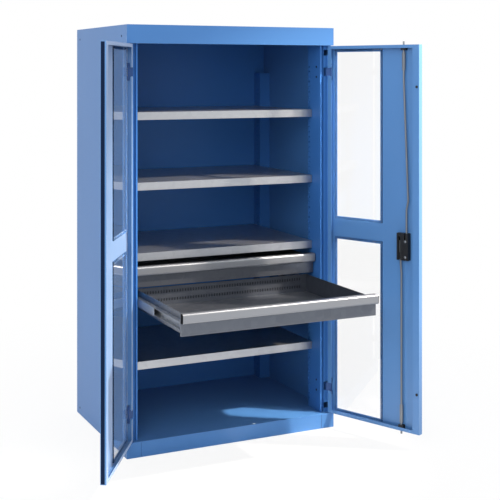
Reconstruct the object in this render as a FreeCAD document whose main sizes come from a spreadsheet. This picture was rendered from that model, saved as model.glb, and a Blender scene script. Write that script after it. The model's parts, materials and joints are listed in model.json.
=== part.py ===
import FreeCAD, Part
import math
import os
import re
import Sketcher

# Two-door steel cabinet with shelves, two telescopic drawers and a rod lock.
# Origin at the middle of the base, X to the right, Y to the back, Z up, in mm.
# It stands as it is photographed: both doors open and the lower drawer pulled out.

SIZES = {
    # carcass
    "cabinet_width": 1064,
    "cabinet_depth": 772,
    "cabinet_height": 1950,
    "plate": 1.5,
    "plinth_height": 70,
    "fascia_height": 85,
    "base_return": 40,
    "stiffener_width": 60,
    "stiffener_flange": 20,
    # folded posts
    "post_width": 60,
    "post_gap": 2,
    "post_depth": 124,
    "post_flange": 30,
    "nose_width": 8,
    "groove_width": 11,
    "groove_depth": 12,
    "rear_post_depth": 72,
    "rear_post_drop": 136,
    "hole_size": 9,
    "hole_pitch": 25,
    "hole_lowest": 112,
    "hole_margin": 90,
    "hole_setback": 113,
    "rear_hole_setback": 36,
    "slot_inset": 14,
    "slot_width": 26,
    # doors
    "door_thickness": 25,
    "door_sheet": 1.2,
    "door_reveal": 5,
    "door_gap": 3,
    "meeting_gap": 4,
    "lip_hinge": 22,
    "lip_free": 36,
    "lip_end": 15,
    "right_door_open": 113,
    "left_door_open": 121,
    "window_inset": 42,
    "window_width": 253,
    "window_from_bottom": 24,
    "crossbar_low": 923,
    "crossbar_high": 1034,
    "window_from_top": 30,
    "pane_thickness": 4,
    "pane_overlap": 12,
    "tape_thickness": 1,
    "tape_width": 9,
    "buffer_diameter": 12,
    "buffer_height": 3,
    "buffer_from_top": 195,
    "buffer_from_bottom": 183,
    # hinges
    "hinge_inset_x": 6,
    "hinge_inset_y": 8,
    "hinge_from_top": 126,
    "hinge_from_bottom": 124,
    "hinge_slot_height": 41,
    "spare_slot_height": 28,
    "spare_slot_offset": 94,
    "pin_diameter": 6,
    "pin_clearance": 0.05,
    "knuckle_length": 20,
    "bracket_height": 38,
    "bracket_base": 64,
    "bracket_sheet": 3,
    "bracket_reach": 30,
    "screw_spacing": 50,
    "screw_setback": 36,
    "screw_diameter": 5,
    "screw_head": 10,
    "screw_head_height": 2.5,
    "screw_length": 12,
    "arm_inset": 32,
    "running_gap": 0.3,
    # lock
    "lock_from_edge": 92,
    "lock_z": 926,
    "lock_case_width": 62,
    "lock_case_height": 125,
    "lock_case_depth": 24,
    "lock_opening": 32,
    "rod_spread": 16,
    "upper_rod_shift": 1,
    "upper_rod_lean": 24,
    "lower_rod_shift": -12,
    "rod_depth": 13,
    "rod_diameter": 9,
    "rod_clearance": 0.3,
    "rod_tip": 16,
    "rod_flat_width": 15,
    "rod_flat_length": 82,
    "rod_flat_setback": 36,
    "rod_bend_radius": 30,
    "upper_bend_low": 1096,
    "upper_bend_high": 1136,
    "upper_lean_drop": 162,
    "lower_bend_low": 800,
    "lower_bend_high": 846,
    "guide_width": 26,
    "guide_height": 20,
    "guide_depth": 19,
    "guide_setback": 4,
    "gear_module": 1.5,
    "gear_teeth": 14,
    "gear_width": 8,
    "rack_reach": 28,
    "tooth_play": 0.45,
    "spindle_diameter": 10,
    "handle_hub": 30,
    "handle_hub_height": 16,
    "handle_length": 112,
    "handle_width": 20,
    "handle_tip_width": 13,
    "handle_thickness": 12,
    "rose_width": 44,
    "rose_height": 96,
    "rose_thickness": 3,
    "cylinder_diameter": 18,
    "cylinder_height": 3,
    # shelves
    "shelf_height": 36,
    "shelf_sheet": 1.2,
    "shelf_play": 2,
    "shelf_setback": 108,
    "shelf_back_gap": 6,
    "shelf_one": 1550,
    "shelf_two": 1225,
    "shelf_three": 900,
    "shelf_four": 400,
    "clip_sheet": 1.5,
    "clip_ledge": 14,
    "clip_width": 18,
    "clip_rise": 30,
    "clip_peg_rise": 23,
    "clip_peg": 8.4,
    "clip_peg_length": 8,
    # drawers
    "drawer_setback": 93,
    "drawer_play": 4,
    "drawer_front_height": 96,
    "drawer_front_depth": 12,
    "lower_drawer_z": 648,
    "drawer_pitch": 98,
    "drawer_overlap": 17,
    "tub_gap": 26,
    "tub_back_gap": 65.5,
    "tub_height": 86,
    "tub_sheet": 1.2,
    "grip_height": 42,
    "grip_depth": 22,
    "grip_wall": 2.5,
    "grip_nose": 9,
    "rail_lift": 42,
    "rail_height": 40,
    "rail_sheet": 1.5,
    "rail_gap": 0.3,
    "cabinet_rail_reach": 16,
    "runner_reach": 18,
    "rail_start": 18,
    "cabinet_rail_longer": 12,
    "runner_shorter": 4,
    "drawer_rail_shorter": 10,
}

doc = FreeCAD.newDocument("steel_cabinet")
sheet = doc.addObject("Spreadsheet::Sheet", "sizes")
for row, (alias, number) in enumerate(SIZES.items(), 1):
    sheet.set(f"A{row}", alias)
    sheet.set(f"B{row}", str(number))
    sheet.setAlias(f"B{row}", alias)
doc.recompute()

parts = []

# Lengths worked out from the sheet, written as expressions.
HALF = "(cabinet_width / 2)"
INNER_HALF = "(cabinet_width / 2 - plate)"
FRONT = "(-cabinet_depth / 2)"
BACK = "(cabinet_depth / 2)"
INNER_BACK = "(cabinet_depth / 2 - plate)"
CLEAR = "(cabinet_width / 2 - post_width)"
FASCIA_LOW = "(cabinet_height - fascia_height)"
POST_FRONT = "(-cabinet_depth / 2 + door_thickness + post_gap)"
POST_BACK = f"({POST_FRONT} + post_depth)"
REAR_POST_FRONT = f"({INNER_BACK} - rear_post_depth)"
HINGE_X = "(cabinet_width / 2 - door_reveal - hinge_inset_x)"
HINGE_Y = "(-cabinet_depth / 2 + hinge_inset_y)"
DOOR_WIDTH = "(cabinet_width / 2 - door_reveal - meeting_gap / 2)"
DOOR_LOW = "(plinth_height + door_gap)"
DOOR_HIGH = f"({FASCIA_LOW} - door_gap)"
SKIN_OUT = "(-hinge_inset_y)"
SKIN_IN = "(-hinge_inset_y + door_sheet)"
LIP_IN = "(-hinge_inset_y + door_thickness)"
SLOT_X = f"({INNER_HALF} - slot_inset)"
ROD_Y = "(-hinge_inset_y + rod_depth)"
PITCH_RADIUS = "(gear_module * gear_teeth / 2)"
REAR_POST_TOP = f"({FASCIA_LOW} - rear_post_drop)"
HINGE_LEVELS = (f"({DOOR_HIGH} - hinge_from_top)", f"({DOOR_LOW} + hinge_from_bottom)")
WINDOW_LOW = f"({DOOR_LOW} + window_from_bottom)"
WINDOW_HIGH = f"({DOOR_HIGH} - window_from_top)"
SHELF_FRONT = "(-cabinet_depth / 2 + shelf_setback)"
DRAWER_FACE = "(-cabinet_depth / 2 + drawer_setback)"
DRAWER_HALF = f"({CLEAR} - drawer_play)"
TUB_HALF = f"({CLEAR} - tub_gap)"
TUB_FRONT = f"({DRAWER_FACE} + drawer_front_depth)"
TUB_BACK = f"({INNER_BACK} - tub_back_gap)"
DRAWER_OUT = f"({TUB_BACK} - {TUB_FRONT} - drawer_overlap)"
LOCK_U = f"({DOOR_WIDTH} - lock_from_edge)"
ROD_PLACES = {"upper": f"({LOCK_U} + upper_rod_shift)", "lower": f"({LOCK_U} + lower_rod_shift)"}
PLANE_SIGN = {"XY_Plane": 1, "XZ_Plane": -1, "YZ_Plane": 1}
CUT_PAST = 1
# Edges and places closer than this count as the same.
LEVEL = 0.01
# Tooth proportions in modules, and the share of a rod's diameter that its flattened end keeps.
DEDENDUM = 1.25
RACK_ADDENDUM = 0.8
TOOTH_ROOT_SPREAD = 0.4
TOOTH_TIP_TAPER = 0.45
RACK_FLANK = 0.36
FLAT_SHARE = 0.7


def linked(text):
    """Give an expression its link to the sheet: each size's name gets the sheet's name before it."""
    return re.sub(r"[a-z_]+", lambda word: f"sizes.{word[0]}" if word[0] in SIZES else word[0], text)


def size(alias):
    return float(sheet.get(alias))


def new_body(name):
    body = doc.addObject("PartDesign::Body", name)
    body.Label = name
    parts.append(body)
    return body


def origin_feature(body, role):
    return [item for item in body.Origin.OriginFeatures if item.Role == role][0]


def add_outline(sketch, points):
    """Draw a closed outline whose corners are each bound to the sheet."""
    count = len(points)
    first = sketch.GeometryCount
    seeds = [FreeCAD.Vector(math.cos(2 * math.pi * i / count), math.sin(2 * math.pi * i / count), 0)
             for i in range(count)]
    for i in range(count):
        sketch.addGeometry(Part.LineSegment(seeds[i], seeds[(i + 1) % count]))
    for i in range(count):
        sketch.addConstraint(Sketcher.Constraint("Coincident", first + i, 2, first + (i + 1) % count, 1))
    for i, corner in enumerate(points):
        for kind, seed, text in (("DistanceX", seeds[i].x, corner[0]), ("DistanceY", seeds[i].y, corner[1])):
            index = sketch.addConstraint(Sketcher.Constraint(kind, -1, 1, first + i, 1, seed))
            sketch.setExpression(f"Constraints[{index}]", linked(text))


def add_circle(sketch, circle):
    """Draw a circle from its middle and radius."""
    across, up, radius = circle
    number = sketch.addGeometry(Part.Circle(FreeCAD.Vector(1, 1, 0), FreeCAD.Vector(0, 0, 1), 1))
    for constraint, text in ((Sketcher.Constraint("DistanceX", -1, 1, number, 3, 1), across),
                             (Sketcher.Constraint("DistanceY", -1, 1, number, 3, 1), up),
                             (Sketcher.Constraint("Radius", number, 1), radius)):
        index = sketch.addConstraint(constraint)
        sketch.setExpression(f"Constraints[{index}]", linked(text))


def extrude(body, role, outlines, low, high, cut=False):
    """Pad or pocket outlines between two heights along the plane's axis."""
    sketch = body.newObject("Sketcher::SketchObject", f"{body.Name}_sketch")
    sketch.AttachmentSupport = (origin_feature(body, role), "")
    sketch.MapMode = "FlatFace"
    sketch.setExpression("AttachmentOffset.Base.z", linked(f"{PLANE_SIGN[role]} * (({low}) + ({high})) / 2"))
    for outline in outlines:
        if isinstance(outline, tuple):
            add_circle(sketch, outline)
        else:
            add_outline(sketch, outline)
    kind = "PartDesign::Pocket" if cut else "PartDesign::Pad"
    feature = body.newObject(kind, f"{body.Name}_{'cut' if cut else 'pad'}")
    feature.Profile = sketch
    feature.SideType = "Symmetric"
    feature.setExpression("Length", linked(f"({high}) - ({low})"))
    return feature


def round_edges(body, radius, wanted):
    """Fillet those edges of the body's last feature that the test accepts."""
    doc.recompute()
    base = body.Tip
    names = [f"Edge{i + 1}" for i, edge in enumerate(base.Shape.Edges) if wanted(edge)]
    feature = body.newObject("PartDesign::Fillet", f"{body.Name}_fillet")
    feature.Base = (base, names)
    feature.setExpression("Radius", linked(radius))


def rect(x_low, y_low, x_high, y_high):
    return [(x_low, y_low), (x_high, y_low), (x_high, y_high), (x_low, y_high)]


def ordered(side, near, far):
    """Order two distances from the middle plane for the left or the right side."""
    return (near, far) if side > 0 else (f"-({far})", f"-({near})")


def mirrored(side, points):
    return [(f"{side} * ({across})", along) for across, along in points]


def strip(points, turns, thickness):
    """Outline of a folded sheet: its outer corners, and back along the corners moved inwards."""
    inner = [(f"{across} + ({turn[0]}) * {thickness}", f"{along} + ({turn[1]}) * {thickness}")
             for (across, along), turn in zip(points, turns)]
    return points + inner[::-1]


def repeat_up(body, feature, pitch, count):
    """Repeat a cut up the Z axis."""
    pattern = body.newObject("PartDesign::LinearPattern", f"{body.Name}_pattern")
    pattern.Originals = [feature]
    pattern.Direction = (origin_feature(body, "Z_Axis"), [""])
    pattern.Mode = "Spacing"
    pattern.setExpression("Offset", linked(pitch))
    pattern.setExpression("Occurrences", linked(count))
    body.Tip = pattern
    return pattern


def put(item, x="0", y="0", z="0", turn="0"):
    for axis, text in (("x", x), ("y", y), ("z", z)):
        item.setExpression(f"Placement.Base.{axis}", linked(text))
    item.setExpression("Placement.Rotation.Angle", linked(turn))


def side_name(side):
    return "right" if side > 0 else "left"


def on_door(item, side):
    """Hang a piece, drawn with the door closed and the hinge axis as origin, on the open door."""
    name = f"{side_name(side)}_door_open"
    put(item, f"{side} * {HINGE_X}", HINGE_Y, "0", f"{side} * {name}")


def door_x(side, along):
    """Place along the door, from its hinge edge towards its free edge."""
    return f"({side} * (hinge_inset_x - ({along})))"


# Carcass: two notched side panels, and folded top, base and back between them.

def side_panel(side):
    body = new_body(f"{side_name(side)}_side_panel")
    outline = [(FRONT, "0"), (BACK, "0"), (BACK, "cabinet_height"), (FRONT, "cabinet_height"),
               (FRONT, FASCIA_LOW), (POST_FRONT, FASCIA_LOW), (POST_FRONT, "plinth_height"),
               (FRONT, "plinth_height")]
    extrude(body, "YZ_Plane", [outline], *ordered(side, INNER_HALF, HALF))


def rod_hole(body, place, level_low, level_high):
    """Hole that the lock rod's tip enters when the right door is shut."""
    across = f"{HINGE_X} + hinge_inset_x - {ROD_PLACES[place]}"
    hole = (across, f"{HINGE_Y} + {ROD_Y}", "rod_flat_width / 2 + rod_clearance")
    extrude(body, "XY_Plane", [hole], f"{level_low} - {CUT_PAST}", f"{level_high} + {CUT_PAST}", cut=True)


def top_panel():
    body = new_body("top_panel")
    path = [(INNER_BACK, "cabinet_height"), (FRONT, "cabinet_height"), (FRONT, FASCIA_LOW),
            (POST_FRONT + " + groove_depth", FASCIA_LOW),
            (POST_FRONT + " + groove_depth", FASCIA_LOW + " + lip_end")]
    turns = [(0, -1), (1, -1), (1, 1), (-1, 1), (-1, 0)]
    extrude(body, "YZ_Plane", [strip(path, turns, "plate")], "-" + INNER_HALF, INNER_HALF)
    rod_hole(body, "upper", FASCIA_LOW, FASCIA_LOW + " + plate")


def base_panel():
    body = new_body("base_panel")
    path = [(FRONT + " + base_return", "0"), (FRONT, "0"), (FRONT, "plinth_height"),
            (INNER_BACK, "plinth_height"), (INNER_BACK, "0"), (INNER_BACK + " - base_return", "0")]
    turns = [(0, 1), (1, 1), (1, -1), (-1, -1), (-1, 1), (0, 1)]
    extrude(body, "YZ_Plane", [strip(path, turns, "plate")], "-" + INNER_HALF, INNER_HALF)
    rod_hole(body, "lower", "plinth_height - plate", "plinth_height")


def floor_stiffener():
    """Hat profile welded under the middle of the floor, which also rests on the ground."""
    body = new_body("floor_stiffener")
    wide = "stiffener_width / 2"
    under = "plinth_height - 2 * plate"
    path = [(f"-({wide}) - stiffener_flange", under), (f"-({wide})", under), (f"-({wide})", "0"),
            (wide, "0"), (wide, under), (f"{wide} + stiffener_flange", under)]
    turns = [(0, 1), (1, 1), (1, 1), (-1, 1), (-1, 1), (0, 1)]
    extrude(body, "XZ_Plane", [strip(path, turns, "plate")],
            f"{FRONT} + base_return", f"{INNER_BACK} - base_return")


def back_panel():
    body = new_body("back_panel")
    extrude(body, "XZ_Plane", [rect("-" + INNER_HALF, "0", INNER_HALF, "cabinet_height")], INNER_BACK, BACK)


# Posts: one folded sheet each, with a sealing groove, hinge slots and a column of shelf holes.

def perforate(body, side, along, top):
    """Cut the column of square shelf holes into a post's inner wall."""
    hole = rect(f"{along} - hole_size / 2", "hole_lowest - hole_size / 2",
                f"{along} + hole_size / 2", "hole_lowest + hole_size / 2")
    low, high = ordered(side, f"{CLEAR} - {CUT_PAST}", f"{CLEAR} + plate + {CUT_PAST}")
    first = extrude(body, "YZ_Plane", [hole], low, high, cut=True)
    doc.recompute()
    repeat_up(body, first, "hole_pitch", f"floor(({top} - hole_margin - hole_lowest) / hole_pitch) + 1")


def slot_rects(side):
    """Two slots at each hinge: the hinge arm's own one and the spare one nearer the door's end."""
    spans = []
    for middle, away in zip(HINGE_LEVELS, (1, -1)):
        spans.append((middle, "hinge_slot_height"))
        spans.append((f"{middle} + {away} * spare_slot_offset", "spare_slot_height"))
    x_low, x_high = ordered(side, f"{SLOT_X} - slot_width", SLOT_X)
    return [rect(x_low, f"{middle} - {tall} / 2", x_high, f"{middle} + {tall} / 2") for middle, tall in spans]


def hinge_screw_spots():
    return [(f"{POST_FRONT} + screw_setback", f"{middle} + {way} * screw_spacing / 2")
            for middle in HINGE_LEVELS for way in (-1, 1)]


def front_post(side):
    body = new_body(f"{side_name(side)}_front_post")
    groove_far = f"{CLEAR} + nose_width + groove_width"
    groove_near = f"{CLEAR} + nose_width"
    floor_of_groove = f"{POST_FRONT} + groove_depth"
    path = [(INNER_HALF, f"{POST_FRONT} + post_flange"), (INNER_HALF, POST_FRONT),
            (groove_far, POST_FRONT), (groove_far, floor_of_groove), (groove_near, floor_of_groove),
            (groove_near, POST_FRONT), (CLEAR, POST_FRONT), (CLEAR, POST_BACK), (INNER_HALF, POST_BACK),
            (INNER_HALF, f"{POST_BACK} - post_flange")]
    turns = [(-1, 0), (-1, 1), (1, 1), (1, 1), (-1, 1), (-1, 1), (1, 1), (1, -1), (-1, -1), (-1, 0)]
    extrude(body, "XY_Plane", [mirrored(side, strip(path, turns, "plate"))], "plinth_height", FASCIA_LOW)
    extrude(body, "XZ_Plane", slot_rects(side), f"{POST_FRONT} - {CUT_PAST}",
            f"{POST_FRONT} + plate + {CUT_PAST}", cut=True)
    screws = [(along, up, "screw_diameter / 2") for along, up in hinge_screw_spots()]
    extrude(body, "YZ_Plane", screws,
            *ordered(side, f"{CLEAR} - {CUT_PAST}", f"{CLEAR} + plate + {CUT_PAST}"), cut=True)
    perforate(body, side, f"{POST_FRONT} + hole_setback", FASCIA_LOW)


def rear_post(side):
    body = new_body(f"{side_name(side)}_rear_post")
    path = [(INNER_HALF, f"{REAR_POST_FRONT} + post_flange"), (INNER_HALF, REAR_POST_FRONT),
            (CLEAR, REAR_POST_FRONT), (CLEAR, INNER_BACK), (f"{CLEAR} + post_flange", INNER_BACK)]
    turns = [(-1, 0), (-1, 1), (1, 1), (1, -1), (0, -1)]
    extrude(body, "XY_Plane", [mirrored(side, strip(path, turns, "plate"))], "plinth_height", REAR_POST_TOP)
    perforate(body, side, f"{REAR_POST_FRONT} + rear_hole_setback", REAR_POST_TOP)


# Shelves: folded pans open below, each on four clips that hook into the post holes.

SHELF_TOPS = ("shelf_one", "shelf_two", "shelf_three", "shelf_four")
SHELF_HALF = f"({CLEAR} - shelf_play)"


def shelf(number, top):
    body = new_body(f"shelf_{number}")
    behind = f"{INNER_BACK} - shelf_back_gap"
    extrude(body, "XY_Plane", [rect("-" + SHELF_HALF, SHELF_FRONT, SHELF_HALF, behind)],
            f"{top} - shelf_height", top)
    inside = rect(f"-({SHELF_HALF} - shelf_sheet)", f"{SHELF_FRONT} + shelf_sheet",
                  f"{SHELF_HALF} - shelf_sheet", f"{behind} - shelf_sheet")
    extrude(body, "XY_Plane", [inside],
            f"{top} - shelf_height - {CUT_PAST}", f"{top} - shelf_sheet", cut=True)


def shelf_clips():
    """One small folded clip for each shelf corner: leg, ledge and the peg in its hole."""
    body = new_body("shelf_clips")
    for top in SHELF_TOPS:
        seat = f"{top} - shelf_height"
        for side in (-1, 1):
            for along in (f"{POST_FRONT} + hole_setback", f"{REAR_POST_FRONT} + rear_hole_setback"):
                path = [(f"{CLEAR} - clip_ledge", f"{seat} - clip_sheet"), (CLEAR, f"{seat} - clip_sheet"),
                        (CLEAR, f"{seat} + clip_rise"), (f"{CLEAR} - clip_sheet", f"{seat} + clip_rise"),
                        (f"{CLEAR} - clip_sheet", seat), (f"{CLEAR} - clip_ledge", seat)]
                extrude(body, "XZ_Plane", [mirrored(side, path)],
                        f"{along} - clip_width / 2", f"{along} + clip_width / 2")
                peg = rect(f"{along} - clip_peg / 2", f"{seat} + clip_peg_rise - clip_peg / 2",
                           f"{along} + clip_peg / 2", f"{seat} + clip_peg_rise + clip_peg / 2")
                extrude(body, "YZ_Plane", [peg],
                        *ordered(side, f"{CLEAR} - clip_sheet / 2", f"{CLEAR} + clip_peg_length"))


# Doors: a pan of thin sheet with returned lips, two windows and notches for the hinge arms.

def window_spans():
    return ((WINDOW_LOW, "crossbar_low"), ("crossbar_high", WINDOW_HIGH))


def door_rect(side, near, low, far, high):
    return rect(door_x(side, near), low, door_x(side, far), high)


def door_panel(side):
    body = new_body(f"{side_name(side)}_door_panel")
    inside = "door_sheet"
    extrude(body, "XZ_Plane", [door_rect(side, "0", DOOR_LOW, DOOR_WIDTH, DOOR_HIGH)], SKIN_OUT, LIP_IN)
    extrude(body, "XZ_Plane", [door_rect(side, inside, f"{DOOR_LOW} + {inside}",
                                         f"{DOOR_WIDTH} - {inside}", f"{DOOR_HIGH} - {inside}")],
            SKIN_IN, f"{LIP_IN} - {inside}", cut=True)
    extrude(body, "XZ_Plane", [door_rect(side, "lip_hinge", f"{DOOR_LOW} + lip_end",
                                         f"{DOOR_WIDTH} - lip_free", f"{DOOR_HIGH} - lip_end")],
            f"{LIP_IN} - {inside} - {CUT_PAST}", f"{LIP_IN} + {CUT_PAST}", cut=True)
    windows = [door_rect(side, "window_inset", low, "window_inset + window_width", high)
               for low, high in window_spans()]
    extrude(body, "XZ_Plane", windows, f"{SKIN_OUT} - {CUT_PAST}", f"{SKIN_IN} + {CUT_PAST}", cut=True)
    notches = [door_rect(side, f"-{CUT_PAST}", f"{middle} - hinge_slot_height / 2",
                         "lip_hinge", f"{middle} + hinge_slot_height / 2")
               for middle in HINGE_LEVELS]
    extrude(body, "XZ_Plane", notches, SKIN_IN, f"{LIP_IN} + {CUT_PAST}", cut=True)
    if side > 0:
        spindle = (door_x(side, LOCK_U), "lock_z", "spindle_diameter / 2 + pin_clearance")
        extrude(body, "XZ_Plane", [spindle], f"{SKIN_OUT} - {CUT_PAST}", f"{SKIN_IN} + {CUT_PAST}", cut=True)
        ends = {"lower": (DOOR_LOW, f"{DOOR_LOW} + {inside}"),
                "upper": (f"{DOOR_HIGH} - {inside}", DOOR_HIGH)}
        for place, (low, high) in ends.items():
            hole = (door_x(side, ROD_PLACES[place]), ROD_Y, "rod_flat_width / 2 + rod_clearance")
            extrude(body, "XY_Plane", [hole], f"{low} - {CUT_PAST}", f"{high} + {CUT_PAST}", cut=True)
    on_door(body, side)


def pane_and_tape(side):
    """Clear panes lie on a frame of glazing tape on the inside of the skin."""
    far = "window_inset + window_width"
    over = "pane_overlap"
    tape = new_body(f"{side_name(side)}_glazing_tape")
    rings = []
    for place, (low, high) in zip(("lower", "upper"), window_spans()):
        pane = new_body(f"{side_name(side)}_{place}_pane")
        outline = door_rect(side, f"window_inset - {over}", f"{low} - {over}",
                            f"{far} + {over}", f"{high} + {over}")
        on_tape = f"{SKIN_IN} + tape_thickness"
        extrude(pane, "XZ_Plane", [outline], on_tape, f"{on_tape} + pane_thickness")
        on_door(pane, side)
        inner = f"{over} - tape_width"
        rings.append(outline)
        rings.append(door_rect(side, f"window_inset - ({inner})", f"{low} - ({inner})",
                               f"{far} + ({inner})", f"{high} + ({inner})"))
    extrude(tape, "XZ_Plane", rings, SKIN_IN, f"{SKIN_IN} + tape_thickness")
    on_door(tape, side)


def door_buffers():
    body = new_body("door_buffers")
    along = f"{DOOR_WIDTH} - buffer_diameter"
    levels = (f"{DOOR_HIGH} - buffer_from_top", f"{DOOR_LOW} + buffer_from_bottom")
    discs = [(door_x(1, along), up, "buffer_diameter / 2") for up in levels]
    extrude(body, "XZ_Plane", discs, LIP_IN, f"{LIP_IN} + buffer_height")
    on_door(body, 1)


# Hinges: a bent arm from inside the post, a pin, and two knuckles welded into the door pan.

def hinge_parts(side):
    name = side_name(side)
    arm = new_body(f"{name}_hinge_brackets")
    pins = new_body(f"{name}_hinge_pins")
    knuckles = new_body(f"{name}_hinge_knuckles")
    wall = f"{CLEAR} + plate"
    base_near = f"{POST_FRONT} + screw_setback - bracket_reach / 2"
    base_far = f"{POST_FRONT} + screw_setback + bracket_reach / 2"
    reach = f"{INNER_HALF} - arm_inset + bracket_sheet"
    neck = f"{POST_FRONT} - post_gap - hinge_inset_y"
    base = rect(wall, base_near, f"{wall} + bracket_sheet", base_far)
    bend = [(wall, base_near), (reach, base_near), (reach, neck), (HINGE_X, HINGE_Y),
            (f"{HINGE_X} - bracket_sheet", f"{HINGE_Y} - bracket_sheet / 2"),
            (f"{reach} - bracket_sheet", f"{neck} - bracket_sheet"),
            (f"{reach} - bracket_sheet", f"{base_near} - bracket_sheet"),
            (wall, f"{base_near} - bracket_sheet")]
    round_of_knuckle = "(hinge_inset_x - door_sheet)"
    knuckle = (f"{side} * {HINGE_X}", HINGE_Y, round_of_knuckle)
    bore = (f"{side} * {HINGE_X}", HINGE_Y, "pin_diameter / 2")
    block = mirrored(side, rect(f"-{round_of_knuckle}", SKIN_IN, round_of_knuckle, "0"))
    for middle in HINGE_LEVELS:
        low = f"{middle} - bracket_height / 2"
        high = f"{middle} + bracket_height / 2"
        foot = f"{low} - running_gap - knuckle_length"
        head = f"{high} + running_gap + knuckle_length"
        extrude(arm, "XY_Plane", [mirrored(side, base)],
                f"{middle} - bracket_base / 2", f"{middle} + bracket_base / 2")
        extrude(arm, "XY_Plane", [mirrored(side, bend)], low, high)
        extrude(arm, "XY_Plane", [knuckle], low, high)
        extrude(arm, "XY_Plane", [bore], f"{low} - {CUT_PAST}", f"{high} + {CUT_PAST}", cut=True)
        extrude(pins, "XY_Plane", [bore], foot, head)
        for start, end in ((foot, f"{low} - running_gap"), (f"{high} + running_gap", head)):
            extrude(knuckles, "XY_Plane", [("0", "0", round_of_knuckle)], start, end)
            extrude(knuckles, "XY_Plane", [block], start, end)
            extrude(knuckles, "XY_Plane", [("0", "0", "pin_diameter / 2 + pin_clearance")],
                    f"{start} - {CUT_PAST}", f"{end} + {CUT_PAST}", cut=True)
    on_door(knuckles, side)
    screws = [(along, up, "screw_diameter / 2") for along, up in hinge_screw_spots()]
    extrude(arm, "YZ_Plane", screws,
            *ordered(side, f"{wall} - {CUT_PAST}", f"{wall} + bracket_sheet + {CUT_PAST}"), cut=True)
    heads = new_body(f"{name}_hinge_screws")
    for along, up in hinge_screw_spots():
        extrude(heads, "YZ_Plane", [(along, up, "screw_head / 2")],
                *ordered(side, f"{CLEAR} - screw_head_height", CLEAR))
        extrude(heads, "YZ_Plane", [(along, up, "screw_diameter / 2")],
                *ordered(side, f"{CLEAR} - screw_head_height / 2", f"{CLEAR} + screw_length"))


# Rod lock on the right door: a pinion between two racks, turned by the handle outside.

def lock_case():
    """Case with a round room for the pinion, and a channel and a front window for each rod."""
    body = new_body("lock_case")
    middle = door_x(1, LOCK_U)
    low = "lock_z - lock_case_height / 2"
    high = "lock_z + lock_case_height / 2"
    room = "(rod_diameter / 2 + rod_clearance)"
    face = f"{SKIN_IN} + lock_case_depth"
    block = rect(f"{middle} - lock_case_width / 2", low, f"{middle} + lock_case_width / 2", high)
    extrude(body, "XZ_Plane", [block], SKIN_IN, face)
    gear_room = (middle, "lock_z", f"{PITCH_RADIUS} + 2 * gear_module")
    extrude(body, "XZ_Plane", [gear_room], f"{ROD_Y} - {room}", f"{ROD_Y} + {room}", cut=True)
    spindle = (middle, "lock_z", "spindle_diameter / 2 + pin_clearance")
    extrude(body, "XZ_Plane", [spindle], f"{SKIN_IN} - {CUT_PAST}", ROD_Y, cut=True)
    travel = f"({PITCH_RADIUS} * pi / 2 + 2 * rod_clearance)"
    inward = f"(rod_spread - {PITCH_RADIUS} + gear_module + rod_clearance)"
    spans = {-1: (f"lock_z - rack_reach - {travel}", f"{high} + {CUT_PAST}"),
             1: (f"{low} - {CUT_PAST}", f"lock_z + rack_reach + {travel}")}
    shown = {-1: (f"{high} - lock_opening", f"{high} + {CUT_PAST}"),
             1: (f"{low} - {CUT_PAST}", f"{high} - lock_opening / 2")}
    for way in (-1, 1):
        across = f"{middle} + {way} * rod_spread"
        near, far = spans[way]
        channel = rect(f"{across} - {way} * {inward}", near, f"{across} + {way} * {room}", far)
        extrude(body, "XZ_Plane", [channel], f"{ROD_Y} - {room}", f"{ROD_Y} + {room}", cut=True)
        near, far = shown[way]
        window = rect(f"{across} - {room}", near, f"{across} + {room}", far)
        extrude(body, "XZ_Plane", [window], ROD_Y, f"{face} + {CUT_PAST}", cut=True)
    on_door(body, 1)


def lock_pinion():
    body = new_body("lock_pinion")
    middle = door_x(1, LOCK_U)
    low = f"{ROD_Y} - gear_width / 2"
    high = f"{ROD_Y} + gear_width / 2"
    root = f"({PITCH_RADIUS} - {DEDENDUM} * gear_module)"
    extrude(body, "XZ_Plane", [("0", "0", root)], low, high)
    half_root = f"(pi * gear_module / 4 - tooth_play / 2 + gear_module * {TOOTH_ROOT_SPREAD})"
    half_tip = f"(pi * gear_module / 4 - tooth_play / 2 - gear_module * {TOOTH_TIP_TAPER})"
    tooth = [(f"-{half_root}", f"{root} - gear_module / 2"), (half_root, f"{root} - gear_module / 2"),
             (half_tip, f"{PITCH_RADIUS} + gear_module"), (f"-{half_tip}", f"{PITCH_RADIUS} + gear_module")]
    first = extrude(body, "XZ_Plane", [tooth], low, high)
    doc.recompute()
    pattern = body.newObject("PartDesign::PolarPattern", "lock_pinion_pattern")
    pattern.Originals = [first]
    pattern.Axis = (origin_feature(body, "Y_Axis"), [""])
    pattern.Angle = 360
    pattern.setExpression("Occurrences", linked("gear_teeth"))
    body.Tip = pattern
    extrude(body, "XZ_Plane", [("0", "0", "spindle_diameter / 2")],
            f"{low} - {CUT_PAST}", f"{high} + {CUT_PAST}", cut=True)
    put(body, f"{HINGE_X} + {middle} * cos(right_door_open)", f"{HINGE_Y} + {middle} * sin(right_door_open)",
        "lock_z", "right_door_open")


def bent_path(points, radius):
    """Wire through the points with its corners rounded to one radius."""
    edges = []
    start = points[0]
    for before, corner, after in zip(points, points[1:], points[2:]):
        into = (corner - before).normalize()
        away = (after - corner).normalize()
        half_turn = into.getAngle(away) / 2
        tangent = radius * math.tan(half_turn)
        arc_start = corner - into * tangent
        arc_end = corner + away * tangent
        sag = (away - into).normalize()
        arc_middle = corner + sag * radius * (1 / math.cos(half_turn) - 1)
        edges.append(Part.LineSegment(start, arc_start).toShape())
        edges.append(Part.Arc(arc_start, arc_middle, arc_end).toShape())
        start = arc_end
    edges.append(Part.LineSegment(start, points[-1]).toShape())
    return Part.Wire(edges)


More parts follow.
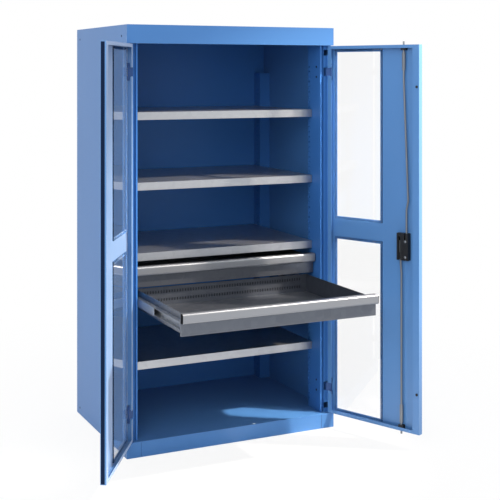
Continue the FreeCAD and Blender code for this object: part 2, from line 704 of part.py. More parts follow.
def rack_solid(way, across, depth):
    """Toothed bar: straight rack teeth that face the pinion, on a flat back."""
    module = size("gear_module")
    pitch_line = across - way * size("rod_spread") + way * module * size("gear_teeth") / 2
    root = pitch_line + way * DEDENDUM * module
    tip = pitch_line - way * RACK_ADDENDUM * module
    spine = across + way * size("rod_diameter") / 2
    pitch = math.pi * module
    half_root = pitch / 4 - size("tooth_play") / 2 + module * RACK_FLANK
    half_tip = pitch / 4 - size("tooth_play") / 2 - module * RACK_FLANK
    reach = size("rack_reach")
    count = int(reach / pitch - 0.5)
    corners = [(spine, -reach), (root, -reach)]
    for number in range(-count, count + 1):
        # A tooth space of the pinion lies on the line of centres, so a rack tooth does too.
        middle = number * pitch
        corners += [(root, middle - half_root), (tip, middle - half_tip),
                    (tip, middle + half_tip), (root, middle + half_root)]
    corners += [(root, reach), (spine, reach)]
    points = [FreeCAD.Vector(x, depth - size("gear_width") / 2, size("lock_z") + z) for x, z in corners]
    face = Part.Face(Part.makePolygon(points + points[:1]))
    return face.extrude(FreeCAD.Vector(0, size("gear_width"), 0))


def lock_rod(way):
    """Bent round rod: a rack at the lock, and a flattened end that shoots past the door."""
    place = "upper" if way < 0 else "lower"
    door_width = size("cabinet_width") / 2 - size("door_reveal") - size("meeting_gap") / 2
    middle = size("hinge_inset_x") + size("lock_from_edge") - door_width
    depth = size("rod_depth") - size("hinge_inset_y")
    beside = middle + way * size("rod_spread")
    end = middle - size(f"{place}_rod_shift")
    door_low = size("plinth_height") + size("door_gap")
    door_high = size("cabinet_height") - size("fascia_height") - size("door_gap")
    if way < 0:
        route = [(beside, size("lock_z") + size("rack_reach")), (beside, size("upper_bend_low")),
                 (end - size("upper_rod_lean"), size("upper_bend_high")),
                 (end, door_high - size("upper_lean_drop")),
                 (end, door_high + size("rod_tip"))]
        flat_low = door_high - size("rod_flat_setback") - size("rod_flat_length")
    else:
        route = [(beside, size("lock_z") - size("rack_reach")), (beside, size("lower_bend_high")),
                 (end, size("lower_bend_low")), (end, door_low - size("rod_tip"))]
        flat_low = door_low + size("rod_flat_setback")
    points = [FreeCAD.Vector(x, depth, z) for x, z in route]
    path = bent_path(points, size("rod_bend_radius"))
    ring = Part.Wire([Part.makeCircle(size("rod_diameter") / 2, points[0], FreeCAD.Vector(0, 0, 1))])
    bar = path.makePipeShell([ring], True, True)
    flat_width = size("rod_flat_width")
    flat_depth = size("rod_diameter") * FLAT_SHARE
    corner = FreeCAD.Vector(end - flat_width / 2, depth - flat_depth / 2, flat_low)
    flat = Part.makeBox(flat_width, flat_depth, size("rod_flat_length"), corner)
    solid = bar.fuse([flat, rack_solid(way, beside, depth)]).removeSplitter()
    item = doc.addObject("Part::Feature", f"{place}_lock_rod")
    item.Label = item.Name
    item.Shape = solid
    parts.append(item)
    on_door(item, 1)


def rod_guides():
    """Two blocks on the skin that steer the rods at the door's top and bottom."""
    body = new_body("rod_guides")
    inset = "door_sheet + guide_setback"
    spans = {"lower": (f"{DOOR_LOW} + {inset}", f"{DOOR_LOW} + {inset} + guide_height"),
             "upper": (f"{DOOR_HIGH} - ({inset}) - guide_height", f"{DOOR_HIGH} - ({inset})")}
    for place, (low, high) in spans.items():
        middle = door_x(1, ROD_PLACES[place])
        block = rect(f"{middle} - guide_width / 2", SKIN_IN,
                     f"{middle} + guide_width / 2", f"{SKIN_IN} + guide_depth")
        extrude(body, "XY_Plane", [block], low, high)
        bore = (middle, ROD_Y, "rod_diameter / 2 + rod_clearance")
        extrude(body, "XY_Plane", [bore], f"{low} - {CUT_PAST}", f"{high} + {CUT_PAST}", cut=True)
    on_door(body, 1)


def lock_handle():
    """Lever outside the door, with the spindle that carries the pinion, and its rose."""
    middle = door_x(1, LOCK_U)
    under = f"{SKIN_OUT} - rose_thickness"
    hub_low = f"{under} - running_gap - handle_hub_height"
    seat = f"{hub_low} - handle_thickness / 2"
    rose = new_body("lock_rose")
    plate_outline = rect(f"{middle} - rose_width / 2", "lock_z - rose_height / 2",
                         f"{middle} + rose_width / 2", "lock_z + rose_height / 2")
    extrude(rose, "XZ_Plane", [plate_outline], under, SKIN_OUT)
    bore = (middle, "lock_z", "spindle_diameter / 2 + pin_clearance")
    extrude(rose, "XZ_Plane", [bore], f"{under} - {CUT_PAST}", f"{SKIN_OUT} + {CUT_PAST}", cut=True)
    on_door(rose, 1)
    handle = new_body("lock_handle")
    spindle = (middle, "lock_z", "spindle_diameter / 2")
    extrude(handle, "XZ_Plane", [spindle], hub_low, f"{ROD_Y} + gear_width / 2")
    extrude(handle, "XZ_Plane", [(middle, "lock_z", "handle_hub / 2")], hub_low, f"{under} - running_gap")
    lever = [(f"{middle} - handle_width / 2", "lock_z + handle_hub / 2"),
             (f"{middle} - handle_tip_width / 2", "lock_z - handle_length"),
             (f"{middle} + handle_tip_width / 2", "lock_z - handle_length"),
             (f"{middle} + handle_width / 2", "lock_z + handle_hub / 2")]
    extrude(handle, "XZ_Plane", [lever], seat, f"{hub_low} + handle_thickness / 2")
    on_door(handle, 1)
    cylinder = new_body("lock_cylinder")
    barrel = (middle, "lock_z", "cylinder_diameter / 2")
    extrude(cylinder, "XZ_Plane", [barrel], f"{seat} - cylinder_height", seat)
    on_door(cylinder, 1)


# Drawers: a tub, a folded front with a hollow grip, and nested telescopic rails each side.

def drawer_level(place):
    return "lower_drawer_z" if place == "lower" else "(lower_drawer_z + drawer_pitch)"


def drawer_out(place, share):
    return f"-{share} * {DRAWER_OUT}" if place == "lower" else "0"


def edge_along_x(edge, place):
    """Whether a straight edge runs across the cabinet at this distance from its middle plane."""
    first, last = (vertex.Point for vertex in edge.Vertexes[:1] + edge.Vertexes[-1:])
    level = abs(first.y - place) < LEVEL and abs(last.y - place) < LEVEL
    return level and abs(first.z - last.z) < LEVEL and abs(first.x - last.x) > LEVEL


def drawer_front(place):
    body = new_body(f"{place}_drawer_front")
    extrude(body, "XZ_Plane", [rect("-" + DRAWER_HALF, "0", DRAWER_HALF, "drawer_front_height")],
            DRAWER_FACE, TUB_FRONT)
    hollow = rect(f"-({DRAWER_HALF} - plate)", "plate",
                  f"{DRAWER_HALF} - plate", "drawer_front_height - plate")
    extrude(body, "XZ_Plane", [hollow], f"{DRAWER_FACE} + plate", f"{TUB_FRONT} + {CUT_PAST}", cut=True)
    return body


def drawer_tub(place):
    body = new_body(f"{place}_drawer_tub")
    extrude(body, "XY_Plane", [rect("-" + TUB_HALF, TUB_FRONT, TUB_HALF, TUB_BACK)], "0", "tub_height")
    hollow = rect(f"-({TUB_HALF} - tub_sheet)", f"{TUB_FRONT} + tub_sheet",
                  f"{TUB_HALF} - tub_sheet", f"{TUB_BACK} - tub_sheet")
    extrude(body, "XY_Plane", [hollow], "tub_sheet", f"tub_height + {CUT_PAST}", cut=True)
    return body


def drawer_grip(place):
    """Extrusion along the front's top with a rounded nose, hollowed from its open ends."""
    body = new_body(f"{place}_drawer_grip")
    tip = f"({DRAWER_FACE} - grip_depth)"
    low = "(drawer_front_height - grip_height)"
    outside = rect(tip, low, DRAWER_FACE, "drawer_front_height")
    extrude(body, "YZ_Plane", [outside], "-" + DRAWER_HALF, DRAWER_HALF)
    nose = size("drawer_setback") - size("cabinet_depth") / 2 - size("grip_depth")
    round_edges(body, "grip_nose", lambda edge: edge_along_x(edge, nose))
    doc.recompute()
    base = body.Tip
    ends = [f"Face{i + 1}" for i, face in enumerate(base.Shape.Faces) if face.BoundBox.XLength < LEVEL]
    shell = body.newObject("PartDesign::Thickness", f"{body.Name}_shell")
    shell.Base = (base, ends)
    shell.Reversed = True
    shell.setExpression("Value", linked("grip_wall"))
    return body


def drawer(place):
    for piece in (drawer_front, drawer_tub, drawer_grip):
        put(piece(place), "0", drawer_out(place, 1), drawer_level(place))


def rail(name, side, section, length, place, share):
    """One rail: a C section with its web at one distance from the middle and its flanges up to another."""
    body = new_body(name)
    web, toward, tip, tall = section
    inside = f"{web} + {toward} * rail_sheet"
    outline = [(web, f"-({tall})"), (tip, f"-({tall})"), (tip, f"-({tall}) + rail_sheet"),
               (inside, f"-({tall}) + rail_sheet"), (inside, f"{tall} - rail_sheet"),
               (tip, f"{tall} - rail_sheet"), (tip, tall), (web, tall)]
    start = f"{DRAWER_FACE} + rail_start"
    extrude(body, "XZ_Plane", [mirrored(side, outline)], start, f"{start} + {length}")
    put(body, "0", drawer_out(place, share), f"{drawer_level(place)} + rail_lift")


def drawer_rails(place, side):
    """Cabinet rail, runner and drawer rail, each nested in the one before with a small gap."""
    name = f"{place}_{side_name(side)}"
    depth = f"{TUB_BACK} - {TUB_FRONT}"
    step = "rail_sheet - rail_gap"
    runner_web = f"({CLEAR} - {step})"
    tall = "rail_height / 2"
    cabinet = (CLEAR, -1, f"{CLEAR} - cabinet_rail_reach", tall)
    runner = (runner_web, -1, f"{runner_web} - runner_reach", f"{tall} - {step}")
    inner = (TUB_HALF, 1, f"{runner_web} - {step}", f"{tall} - {step} - {step}")
    rail(f"{name}_cabinet_rail", side, cabinet, f"{depth} + cabinet_rail_longer", place, 0)
    rail(f"{name}_runner", side, runner, f"{depth} - runner_shorter", place, 0.5)
    rail(f"{name}_drawer_rail", side, inner, f"{depth} - drawer_rail_shorter", place, 1)


for side in (-1, 1):
    side_panel(side)
    front_post(side)
    rear_post(side)
    door_panel(side)
    pane_and_tape(side)
    hinge_parts(side)
top_panel()
base_panel()
floor_stiffener()
back_panel()
for number, top in enumerate(SHELF_TOPS, 1):
    shelf(number, top)
shelf_clips()
door_buffers()
lock_case()
lock_pinion()
lock_rod(-1)
lock_rod(1)
rod_guides()
lock_handle()
for place in ("lower", "upper"):
    drawer(place)
    for side in (-1, 1):
        drawer_rails(place, side)

doc.recompute()
for item in doc.Objects:
    if "Invalid" in item.State or "Error" in item.State:
        raise RuntimeError(f"{item.Label} failed: {item.State}")
for item in parts:
    if item.Shape.isNull() or not item.Shape.isValid() or not item.Shape.Solids:
        raise RuntimeError(f"{item.Label} has no valid solid")

os.makedirs("parts", exist_ok=True)
for item in parts:
    item.Shape.exportStep(f"parts/{item.Label}.step")
print(len(parts), "parts,", sum(len(item.Shape.Solids) for item in parts), "solids")
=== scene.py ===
import json
import math

import bpy
import numpy as np
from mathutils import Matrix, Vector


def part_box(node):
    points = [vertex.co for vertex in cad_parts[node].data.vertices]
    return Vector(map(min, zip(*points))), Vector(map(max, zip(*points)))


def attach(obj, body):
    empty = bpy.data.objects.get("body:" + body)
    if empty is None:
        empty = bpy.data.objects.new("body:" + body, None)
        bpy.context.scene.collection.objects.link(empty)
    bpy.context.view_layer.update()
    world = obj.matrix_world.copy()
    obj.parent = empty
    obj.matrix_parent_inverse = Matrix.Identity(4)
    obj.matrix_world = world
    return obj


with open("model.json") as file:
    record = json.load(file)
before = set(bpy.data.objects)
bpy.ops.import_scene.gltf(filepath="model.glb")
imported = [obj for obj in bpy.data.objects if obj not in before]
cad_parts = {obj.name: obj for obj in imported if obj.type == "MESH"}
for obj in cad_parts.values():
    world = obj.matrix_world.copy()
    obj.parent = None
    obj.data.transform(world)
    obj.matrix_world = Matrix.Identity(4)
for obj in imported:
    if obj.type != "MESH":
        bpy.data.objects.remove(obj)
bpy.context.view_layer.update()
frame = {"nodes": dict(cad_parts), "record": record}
nodes = frame["nodes"]
mm = 0.001
print("frame loaded:", len(nodes), "nodes")


def hexColour(text, alpha=1.0):
    # each sRGB byte to a linear value by the sRGB curve
    bytesRgb = np.array([int(text[i:i + 2], 16) for i in (1, 3, 5)]) / 255
    linear = np.where(bytesRgb <= 0.04045, bytesRgb / 12.92, ((bytesRgb + 0.055) / 1.055) ** 2.4)
    return (*linear.tolist(), alpha)


def addNode(tree, kind, inputs=None, **settings):
    # inputs: socket name or number to a value, or to another node's output socket
    node = tree.nodes.new(kind)
    for key, value in settings.items():
        setattr(node, key, value)
    for key, value in (inputs or {}).items():
        if isinstance(value, bpy.types.NodeSocket):
            tree.links.new(value, node.inputs[key])
        else:
            node.inputs[key].default_value = value
    return node


def newFinish(name):
    material = bpy.data.materials.new(name)
    material.use_nodes = True
    shader = material.node_tree.nodes["Principled BSDF"]
    return material, material.node_tree, shader


def perMetre(millimetres):
    # a noise cell of this size, as a texture scale on Object coordinates in metres
    return 1000.0 / millimetres


def noiseAt(tree, cellMm, detail):
    where = addNode(tree, "ShaderNodeTexCoord").outputs["Object"]
    noise = {"Vector": where, "Scale": perMetre(cellMm), "Detail": detail}
    return addNode(tree, "ShaderNodeTexNoise", noise).outputs["Fac"]


def mixTones(tree, shader, factor, colour, shadeColour):
    tone = addNode(tree, "ShaderNodeMix", {"Factor": factor, "A": hexColour(colour),
                                           "B": hexColour(shadeColour)}, data_type="RGBA")
    tree.links.new(tone.outputs["Result"], shader.inputs["Base Color"])


def spreadGloss(tree, shader, factor, roughness):
    low, high = roughness
    rough = addNode(tree, "ShaderNodeMapRange", {"Value": factor, "To Min": low, "To Max": high})
    tree.links.new(rough.outputs["Result"], shader.inputs["Roughness"])


def raiseGrain(tree, shader, height, distance, strength):
    bump = addNode(tree, "ShaderNodeBump", {"Height": height, "Distance": distance, "Strength": strength})
    tree.links.new(bump.outputs["Normal"], shader.inputs["Normal"])


# Materials

powderCoat = {
    "peelMm": 2.2,          # orange peel of sprayed powder
    "peelHeight": 0.00005,
    "peelDetail": 3.0,
    "driftMm": 420,         # slow change of tone across a panel
    "driftDetail": 2.0,
    # the sheen below is a painted highlight: a white veil at a glancing view, standing in for light
    "paintedSheenSpread": 0.35,
    "roughness": (0.30, 0.42),
    "outside": {"colour": "#4577b2", "shadeColour": "#4172ac", "gloss": 0.3, "paintedSheen": 0.05},
    # door copy: lighter colour and strong sheen, a painted highlight standing in for the light from the right
    "doors": {"colour": "#5183bc", "shadeColour": "#4c7db5", "gloss": 0.5, "paintedSheen": 0.75},
    # hinge copy: a much darker blue, painted shade of the hinge slots
    "hinges_painted_shade": {"colour": "#24477e", "shadeColour": "#214378", "gloss": 0.3, "paintedSheen": 0.0},
    # interior copy: deeper blue and little gloss, painted shade of the cabinet's interior
    "inside": {"colour": "#3a70b4", "shadeColour": "#366bae", "gloss": 0.15, "paintedSheen": 0.0},
}


def bluePowderCoat(where):
    # polyester powder on steel: satin with faint orange peel. Its sheen is a painted highlight, strongest on
    # the doors at a glancing view; the door copy is painted light, the interior and hinge copies painted
    # shade
    material, tree, shader = newFinish(f"bluePowderCoat{where.capitalize()}")
    drift = noiseAt(tree, powderCoat["driftMm"], powderCoat["driftDetail"])
    peel = noiseAt(tree, powderCoat["peelMm"], powderCoat["peelDetail"])
    coat = powderCoat[where]
    mixTones(tree, shader, drift, coat["colour"], coat["shadeColour"])
    spreadGloss(tree, shader, peel, powderCoat["roughness"])
    raiseGrain(tree, shader, peel, powderCoat["peelHeight"], 1.0)
    shader.inputs["Specular IOR Level"].default_value = coat["gloss"]
    shader.inputs["Sheen Weight"].default_value = coat["paintedSheen"]
    shader.inputs["Sheen Roughness"].default_value = powderCoat["paintedSheenSpread"]
    return material


shelfSheet = {
    "colour": "#b1b5bb",
    "shadeColour": "#a8acb3",
    "spangleMm": 26,
    "roughness": (0.30, 0.34),
    "metal": 0.92,
}
drawerSheet = {
    "colour": "#6c717a",
    "shadeColour": "#636872",
    "spangleMm": 30,
    "roughness": (0.30, 0.36),
    "metal": 0.85,
}


def galvanisedSheet(name, sheet):
    # hot-dip zinc on rolled sheet: dull metal, each spangle a little lighter or darker than the next
    material, tree, shader = newFinish(name)
    where = addNode(tree, "ShaderNodeTexCoord").outputs["Object"]
    cells = addNode(tree, "ShaderNodeTexVoronoi", {"Vector": where, "Scale": perMetre(sheet["spangleMm"])})
    mixTones(tree, shader, cells.outputs["Color"], sheet["colour"], sheet["shadeColour"])
    spreadGloss(tree, shader, cells.outputs["Color"], sheet["roughness"])
    shader.inputs["Metallic"].default_value = sheet["metal"]
    return material


drawnMetal = {"grainMm": 1.6, "grainHeight": 0.00003, "grainDetail": 4.0, "strength": 0.6, "stretch": 0.02}


def drawnAlong(name, axis, colour, roughness, metal):
    # extruded or drawn metal: fine lines along one axis, so the gloss spreads across them
    material, tree, shader = newFinish(name)
    where = addNode(tree, "ShaderNodeTexCoord").outputs["Object"]
    scale = [drawnMetal["stretch"] if direction == axis else 1.0 for direction in "xyz"]
    lined = addNode(tree, "ShaderNodeMapping", {"Vector": where, "Scale": scale})
    lines = {"Vector": lined.outputs["Vector"], "Detail": drawnMetal["grainDetail"],
             "Scale": perMetre(drawnMetal["grainMm"])}
    grain = addNode(tree, "ShaderNodeTexNoise", lines).outputs["Fac"]
    spreadGloss(tree, shader, grain, roughness)
    raiseGrain(tree, shader, grain, drawnMetal["grainHeight"], drawnMetal["strength"])
    shader.inputs["Base Color"].default_value = hexColour(colour)
    shader.inputs["Metallic"].default_value = metal
    return material


toolGrain = {"height": 0.00006, "strength": 0.7, "detail": 2.0}


def mouldedPlastic(name, colour, grainMm, roughness, gloss=0.5):
    # moulded ABS or rubber: eroded tool grain, dull gloss
    material, tree, shader = newFinish(name)
    grain = noiseAt(tree, grainMm, toolGrain["detail"])
    raiseGrain(tree, shader, grain, toolGrain["height"], toolGrain["strength"])
    spreadGloss(tree, shader, grain, roughness)
    shader.inputs["Base Color"].default_value = hexColour(colour)
    shader.inputs["Specular IOR Level"].default_value = gloss
    return material


acrylic = {"waveMm": 180, "waveDetail": 1.0, "waveHeight": 0.0002, "strength": 0.04, "roughness": 0.02,
           "ior": 1.49, "colour": "#ffffff"}


def clearAcrylic():
    # cast acrylic sheet: clear, polished, a breath of unevenness
    material, tree, shader = newFinish("clearAcrylic")
    wave = noiseAt(tree, acrylic["waveMm"], acrylic["waveDetail"])
    raiseGrain(tree, shader, wave, acrylic["waveHeight"], acrylic["strength"])
    shader.inputs["Base Color"].default_value = hexColour(acrylic["colour"])
    shader.inputs["Roughness"].default_value = acrylic["roughness"]
    shader.inputs["IOR"].default_value = acrylic["ior"]
    shader.inputs["Transmission Weight"].default_value = 1.0
    return material


finishes = {
    "blue_paint": bluePowderCoat("outside"),
    "blue_tape": mouldedPlastic("blueFoamTape", "#3f6da8", 1.5, (0.6, 0.7)),
    "galvanised_steel": galvanisedSheet("galvanisedShelfSheet", shelfSheet),
    "grey_paint": galvanisedSheet("galvanisedDrawerSheet", drawerSheet),
    "rail_steel": drawnAlong("rolledRailSteel", "y", "#9ea2a8", (0.32, 0.45), 0.8),
    "zinc_steel": drawnAlong("zincPlatedSteel", "z", "#81868c", (0.32, 0.44), 0.7),
    # black oxide steel, its near-black navy also painted shade of the hinge slots
    "dark_steel": drawnAlong("blackenedSteelAndShade", "z", "#101a2c", (0.35, 0.5), 0.3),
    "aluminium": drawnAlong("anodisedAluminium", "x", "#8b8f96", (0.30, 0.40), 0.7),
    "clear_acrylic": clearAcrylic(),
    "black_plastic": mouldedPlastic("blackMouldedPlastic", "#0d0e11", 0.9, (0.40, 0.55)),
    "handle_plastic": mouldedPlastic("handleMouldedPlastic", "#15161a", 1.2, (0.35, 0.5)),
    "rubber": mouldedPlastic("blackRubber", "#17181b", 0.6, (0.6, 0.75)),
    "chrome": drawnAlong("platedCylinder", "z", "#d8d9da", (0.12, 0.2), 1.0),
}
coatedAlike = {
    # back panel and posts take the interior copy of the paint: painted shade
    "inside": ["back_panel"] + [f"{s}_{p}_post" for s in ("left", "right") for p in ("front", "rear")],
    # the door panels take the lit copy of the paint: painted highlight
    "doors": ["left_door_panel", "right_door_panel"],
    # hinge brackets and knuckles take the dark copy of the paint: painted shade
    "hinges_painted_shade": [f"{s}_hinge_{p}" for s in ("left", "right") for p in ("brackets", "knuckles")],
}
ownFinish = {}
for where, names in coatedAlike.items():
    ownFinish.update(dict.fromkeys(names, bluePowderCoat(where)))
slotOf = {part["node"]: part["material_slot"] for part in frame["record"]["subparts"]}
for name, node in nodes.items():
    node.data.materials.clear()
    node.data.materials.append(ownFinish.get(name, finishes[slotOf[name]]))
    if slotOf[name] == "clear_acrylic":
        node.visible_shadow = False      # a clear sheet lets the lamps through
print("finishes on", len(nodes), "nodes")


# Small pieces, each riding on the body that carries it

pins = {joint["name"]: joint["pos_m"] for joint in frame["record"]["behaviour"]["joints"] if "pos_m" in joint}
hinge = {"x": pins["right_door_swing"][0], "y": pins["right_door_swing"][1],
         "insetX": 6 * mm, "insetY": 8 * mm}
doors = {"right": {"side": 1, "open": 113}, "left": {"side": -1, "open": 121}}


def onDoor(name, points):
    # (from the hinge edge, in from the outer skin, up), turned about the pin by the door's opening
    door = doors[name]
    c, d = math.cos(math.radians(door["open"])), math.sin(math.radians(door["open"]))
    x, y = hinge["insetX"] - points[:, 0], points[:, 1] - hinge["insetY"]
    across = door["side"] * (hinge["x"] + x * c - y * d)
    return np.stack([across, hinge["y"] + x * d + y * c, points[:, 2]], 1)


def inDoor(name, points):
    # the way back: from the row frame to (from the hinge edge, in from the outer skin, up)
    door = doors[name]
    c, d = math.cos(math.radians(door["open"])), math.sin(math.radians(door["open"]))
    x, y = door["side"] * points[:, 0] - hinge["x"], points[:, 1] - hinge["y"]
    return np.stack([hinge["insetX"] - x * c - y * d, hinge["insetY"] - x * d + y * c, points[:, 2]], 1)


def cornersInDoor(name, node):
    points = inDoor(name, np.array([v.co[:] for v in nodes[node].data.vertices]))
    return points.min(0), points.max(0)


def endsOf(node):
    return [np.array(corner[:]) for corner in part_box(node)]


def boxes(low, high):
    # every box at once: each corner takes the low or the high end along each axis
    low, high = np.atleast_2d(low), np.atleast_2d(high)
    ends = np.array([(x, y, z) for x in (0, 1) for y in (0, 1) for z in (0, 1)])
    points = (low[:, None] + ends[None] * (high - low)[:, None]).reshape(-1, 3)
    sides = np.array([(0, 1, 3, 2), (4, 6, 7, 5), (0, 4, 5, 1), (2, 3, 7, 6), (0, 2, 6, 4), (1, 5, 7, 3)])
    return points, (np.arange(len(low))[:, None, None] * 8 + sides).reshape(-1, 4).tolist()


def screwHead(centre, across, up, outward, radius, height, steps=32, rings=4):
    # a dome on rings: radius falls with the cosine and height rises with the sine of the ring's angle
    ring = np.linspace(0, 2 * math.pi, steps, endpoint=False)
    rise = np.linspace(0, math.pi / 2, rings + 1)[:-1, None, None]
    flat = np.cos(ring)[:, None] * np.array(across) + np.sin(ring)[:, None] * np.array(up)
    centre, outward = np.array(centre), np.array(outward)
    dome = centre + radius * np.cos(rise) * flat + height * np.sin(rise) * outward
    points = np.concatenate([dome.reshape(-1, 3), [centre + height * outward]])
    grid = np.arange(rings * steps).reshape(rings, steps)
    turned = np.roll(grid, -1, axis=1)
    sides = np.stack([grid[:-1], turned[:-1], turned[1:], grid[1:]], -1).reshape(-1, 4)
    cap = np.stack([grid[-1], turned[-1], np.full(steps, rings * steps)], 1)
    return points, sides.tolist() + cap.tolist()


def addPiece(name, body, points, faces, finish, bevelMm=0.0, bevelSteps=3):
    mesh = bpy.data.meshes.new(name)
    mesh.from_pydata(points.tolist(), [], faces)
    mesh.materials.append(finish)
    item = bpy.data.objects.new(name, mesh)
    bpy.context.scene.collection.objects.link(item)
    if bevelMm:
        edges = item.modifiers.new("edges", "BEVEL")
        edges.width = bevelMm * mm
        edges.segments = bevelSteps
    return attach(item, body)


# thin dark navy strip on the left door's meeting edge: painted shade standing in for the door's end face in
# shadow
edgeShadeStrip = {"thick": 0.8 * mm, "inset": 2.2 * mm, "width": 16 * mm, "end": 3 * mm, "colour": "#0b1c38"}
# one dark navy finish: painted shade on the door's edge strip, and the own colour of the side plugs and
# plinth seams
shadeStripPlugAndSeamFinish = mouldedPlastic("navyPaintedShadePlugsAndSeams", edgeShadeStrip["colour"], 0.6, (0.7, 0.8), 0.08)
low, high = cornersInDoor("left", "left_door_panel")
points, faces = boxes((high[0], low[1] + edgeShadeStrip["inset"], low[2] + edgeShadeStrip["end"]),
                      (high[0] + edgeShadeStrip["thick"], low[1] + edgeShadeStrip["inset"] + edgeShadeStrip["width"],
                       high[2] - edgeShadeStrip["end"]))
addPiece("leftEdgePaintedShade", "left_door", onDoor("left", points), faces, shadeStripPlugAndSeamFinish)

# two screws on the face of the lock case
caseScrew = {"radius": 6.5 * mm, "height": 2.5 * mm, "fromEdge": 15 * mm, "fromTop": 37.5 * mm}
low, high = cornersInDoor("right", "lock_case")
for number, height in enumerate((low[2] + caseScrew["fromEdge"], high[2] - caseScrew["fromTop"])):
    points, faces = screwHead((high[0] - caseScrew["fromEdge"], high[1], height), (1, 0, 0), (0, 0, 1),
                              (0, 1, 0), caseScrew["radius"], caseScrew["height"])
    name = f"lockCaseScrew{number + 1}"
    addPiece(name, "right_door", onDoor("right", points), faces, finishes["zinc_steel"])

# black end caps on the grips, in the grip's own section
gripCap = {"thick": 2.5 * mm, "inset": 0.2 * mm, "nose": 9 * mm, "back": 1.5 * mm, "arc": 7, "edgeMm": 0.4}
capFinish = mouldedPlastic("blackCapPlastic", "#08090b", 0.9, (0.6, 0.7), 0.08)


def capOutline(low, high):
    # four quarter arcs about the corners' centres, wide at the nose and tight at the back, in (y, z)
    turn = np.linspace(0, math.pi / 2, gripCap["arc"]) + math.pi / 2 * np.arange(4)[:, None]
    side = np.array([(1, 1), (-1, 1), (-1, -1), (1, -1)])
    radius = np.where(side[:, :1] < 0, gripCap["nose"], gripCap["back"])
    middle, half = (low + high)[1:] / 2, (high - low)[1:] / 2 - gripCap["inset"]
    centre = middle + side * (half - radius)
    return (centre[:, None] + radius[:, None] * np.stack([np.cos(turn), np.sin(turn)], -1)).reshape(-1, 2)


for place in ("lower", "upper"):
    low, high = endsOf(f"{place}_drawer_grip")
    outline = capOutline(low, high)
    planes = np.array([low[0] - gripCap["thick"], low[0], high[0], high[0] + gripCap["thick"]])
    points = np.concatenate([np.repeat(planes, len(outline))[:, None], np.tile(outline, (4, 1))], 1)
    rings = np.arange(len(points)).reshape(4, -1)
    lowRings, highRings = rings[::2], rings[1::2]      # each cap's ring at its lower and its higher x
    walls = np.stack([lowRings, np.roll(lowRings, -1, 1), np.roll(highRings, -1, 1), highRings], -1)
    faces = walls.reshape(-1, 4).tolist() + lowRings[:, ::-1].tolist() + highRings.tolist()
    addPiece(f"{place}GripCaps", f"{place}_drawer", points, faces, capFinish,
             gripCap["edgeMm"])

# two rows of divider slots along each tub's back wall, drawn as thin dark boxes: painted shade in the
# openings
tubSlot = {"pitch": 13.5 * mm, "width": 5 * mm, "height": 13 * mm, "rows": (0.30, 0.74), "margin": 30 * mm,
           "proud": 0.2 * mm, "sheet": 1.0 * mm}
slotPaintedShadeFinish = mouldedPlastic("slotPaintedShade", "#1a1c20", 1.0, (0.6, 0.7))
for place in ("lower", "upper"):
    low, high = endsOf(f"{place}_drawer_tub")
    across = np.arange(low[0] + tubSlot["margin"], high[0] - tubSlot["margin"], tubSlot["pitch"])
    level = low[2] + np.array(tubSlot["rows"]) * (high[2] - low[2])
    x, z = (grid.ravel() for grid in np.meshgrid(across, level))
    face = np.full(len(x), high[1] - tubSlot["sheet"])
    lows = np.stack([x - tubSlot["width"] / 2, face - tubSlot["proud"], z - tubSlot["height"] / 2], 1)
    highs = np.stack([x + tubSlot["width"] / 2, face, z + tubSlot["height"] / 2], 1)
    points, faces = boxes(lows, highs)
    addPiece(f"{place}TubSlots", f"{place}_drawer", points, faces, slotPaintedShadeFinish)

# plugs in the side panels' assembly holes
sidePlug = {"radius": 5 * mm, "height": 1.2 * mm, "fromFront": 75 * mm, "fromBack": 51 * mm,
            "fromTop": 51 * mm, "fromFloor": 34 * mm}
for name, sign in (("left", -1), ("right", 1)):
    low, high = endsOf(f"{name}_side_panel")
    wall = low[0] if sign < 0 else high[0]
    count = 0
    for y in (low[1] + sidePlug["fromFront"], high[1] - sidePlug["fromBack"]):
        for z in (low[2] + sidePlug["fromFloor"], high[2] - sidePlug["fromTop"]):
            count += 1
            points, faces = screwHead((wall, y, z), (0, -sign, 0), (0, 0, 1), (sign, 0, 0),
                                      sidePlug["radius"], sidePlug["height"])
            addPiece(f"{name}SidePlug{count}", "cabinet", points, faces, shadeStripPlugAndSeamFinish)

# joint between the plinth and its end returns
seam = {"fromEnd": 68 * mm, "width": 1.2 * mm, "proud": 0.15 * mm, "end": 3 * mm}
low, high = endsOf("base_panel")
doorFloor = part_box("right_door_panel")[0][2]
ends = np.array([-1, 1]) * (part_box("right_side_panel")[1][0] - seam["fromEnd"])
lows = np.array([(x - seam["width"] / 2, low[1] - seam["proud"], low[2] + seam["end"]) for x in ends])
highs = np.array([(x + seam["width"] / 2, low[1], doorFloor - 2 * seam["end"]) for x in ends])
points, faces = boxes(lows, highs)
addPiece("plinthSeams", "cabinet", points, faces, shadeStripPlugAndSeamFinish)
print("small pieces added")


# Camera, fitted to the photograph's edges: no tilt, the frame shifted down

view = {
    "place": (-2.16524, -5.09104, 1.73796),
    "turn": 25.498,
    "focalPx": 1104.965,
    "imagePx": 500,
    "horizonPx": 71.445,
    "sensor": 36.0,
}
camera = bpy.data.objects.new("camera", bpy.data.cameras.new("camera"))
bpy.context.scene.collection.objects.link(camera)
camera.location = view["place"]
camera.rotation_euler = (math.radians(90), 0, -math.radians(view["turn"]))
camera.data.sensor_width = view["sensor"]
camera.data.lens = view["sensor"] * view["focalPx"] / view["imagePx"]
camera.data.shift_y = (view["horizonPx"] - view["imagePx"] / 2) / view["imagePx"]
bpy.context.scene.camera = camera


# Studio: white surroundings, pale floor, one firm lamp from the right and soft ones from the left and above

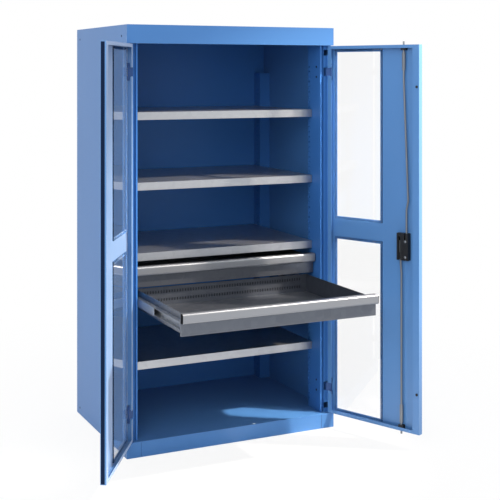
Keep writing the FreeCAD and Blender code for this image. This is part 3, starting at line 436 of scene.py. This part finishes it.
studio = {
    "floorSize": 60.0,
    "floorColour": "#f2f3f5",
    "floorRoughness": 0.8,
    "floorGlow": (0.88, 1.0),     # share of plain white, near the cabinet and far from it
    "glowReach": (0.7, 2.6),      # metres from the middle
    "fill": 0.95,
    "mirrored": 0.40,             # how bright the surroundings are in gloss
}
aim = np.array([0.0, -0.1, 0.95])       # the soft lamps look at the cabinet's middle
lamps = {
    "frontSoft": {"azimuth": -35, "elevation": 25, "distance": 4.5, "size": 2.4, "power": 48},
    "topSoft": {"azimuth": -10, "elevation": 68, "distance": 4.0, "size": 2.4, "power": 20},
}
# narrow lamp from the right: through the right door's window it draws the bright patch on the floor
key = {"azimuth": 60, "elevation": 45, "distance": 5.0, "aim": (-0.25, -0.45, 0.5), "cone": 29, "edge": 0.8,
       "radius": 0.08, "power": 2400, "colour": "#fff0de"}


def whiteFor(tree):
    # 1 for camera and clear rays, less for gloss, 0 for the rays that light the object
    path = addNode(tree, "ShaderNodeLightPath")
    gloss = addNode(tree, "ShaderNodeMath", {0: path.outputs["Is Glossy Ray"], 1: studio["mirrored"]},
                    operation="MULTIPLY")
    clear = addNode(tree, "ShaderNodeMath", {0: path.outputs["Is Camera Ray"],
                                             1: path.outputs["Is Transmission Ray"]}, operation="MAXIMUM")
    return addNode(tree, "ShaderNodeMath", {0: clear.outputs[0], 1: gloss.outputs[0]},
                   operation="MAXIMUM").outputs[0]


world = bpy.data.worlds.new("studioWorld")
bpy.context.scene.world = world
world.use_nodes = True
sky = world.node_tree
level = addNode(sky, "ShaderNodeMapRange", {"Value": whiteFor(sky), "To Min": studio["fill"], "To Max": 1.0})
sky.links.new(level.outputs["Result"], sky.nodes["Background"].inputs["Strength"])
sky.nodes["Background"].inputs["Color"].default_value = (1, 1, 1, 1)

half = studio["floorSize"] / 2
floorMesh = bpy.data.meshes.new("floor")
corners = [(-half, -half, 0), (half, -half, 0), (half, half, 0), (-half, half, 0)]
floorMesh.from_pydata(corners, [], [(0, 1, 2, 3)])
floor = bpy.data.objects.new("floor", floorMesh)
bpy.context.scene.collection.objects.link(floor)
pale, tree, shader = newFinish("paleFloor")
shader.inputs["Base Color"].default_value = hexColour(studio["floorColour"])
shader.inputs["Roughness"].default_value = studio["floorRoughness"]
glow = addNode(tree, "ShaderNodeEmission", {"Color": (1, 1, 1, 1), "Strength": 1.0})
where = addNode(tree, "ShaderNodeTexCoord").outputs["Object"]
away = addNode(tree, "ShaderNodeVectorMath", {0: where}, operation="LENGTH")
nearGlow, farGlow = studio["floorGlow"]
nearReach, farReach = studio["glowReach"]
rise = addNode(tree, "ShaderNodeMapRange", {"Value": away.outputs["Value"], "From Min": nearReach,
                                            "From Max": farReach, "To Min": nearGlow, "To Max": farGlow})
share = addNode(tree, "ShaderNodeMath", {0: whiteFor(tree), 1: rise.outputs["Result"]}, operation="MULTIPLY")
both = addNode(tree, "ShaderNodeMixShader", {"Fac": share.outputs[0], 1: shader.outputs[0],
                                             2: glow.outputs[0]})
tree.links.new(both.outputs[0], tree.nodes["Material Output"].inputs["Surface"])
floorMesh.materials.append(pale)


def addLamp(name, data, target, lamp):
    # a lamp on a sphere round its target, looking at it
    a, e = math.radians(lamp["azimuth"]), math.radians(lamp["elevation"])
    away = np.array([math.sin(a) * math.cos(e), -math.cos(a) * math.cos(e), math.sin(e)])
    data.energy = lamp["power"]
    item = bpy.data.objects.new(name, data)
    bpy.context.scene.collection.objects.link(item)
    item.location = np.array(target) + away * lamp["distance"]
    item.rotation_euler = Vector(-away).to_track_quat("-Z", "Y").to_euler()


for name, lamp in lamps.items():
    data = bpy.data.lights.new(name, "AREA")
    data.shape = "DISK"
    data.size = lamp["size"]
    addLamp(name, data, aim, lamp)
spot = bpy.data.lights.new("key", "SPOT")
spot.spot_size = math.radians(key["cone"])
spot.spot_blend = key["edge"]
spot.shadow_soft_size = key["radius"]
spot.color = hexColour(key["colour"])[:3]
addLamp("key", spot, key["aim"], key)
bpy.context.scene.view_settings.view_transform = "Standard"
print("camera and studio ready")
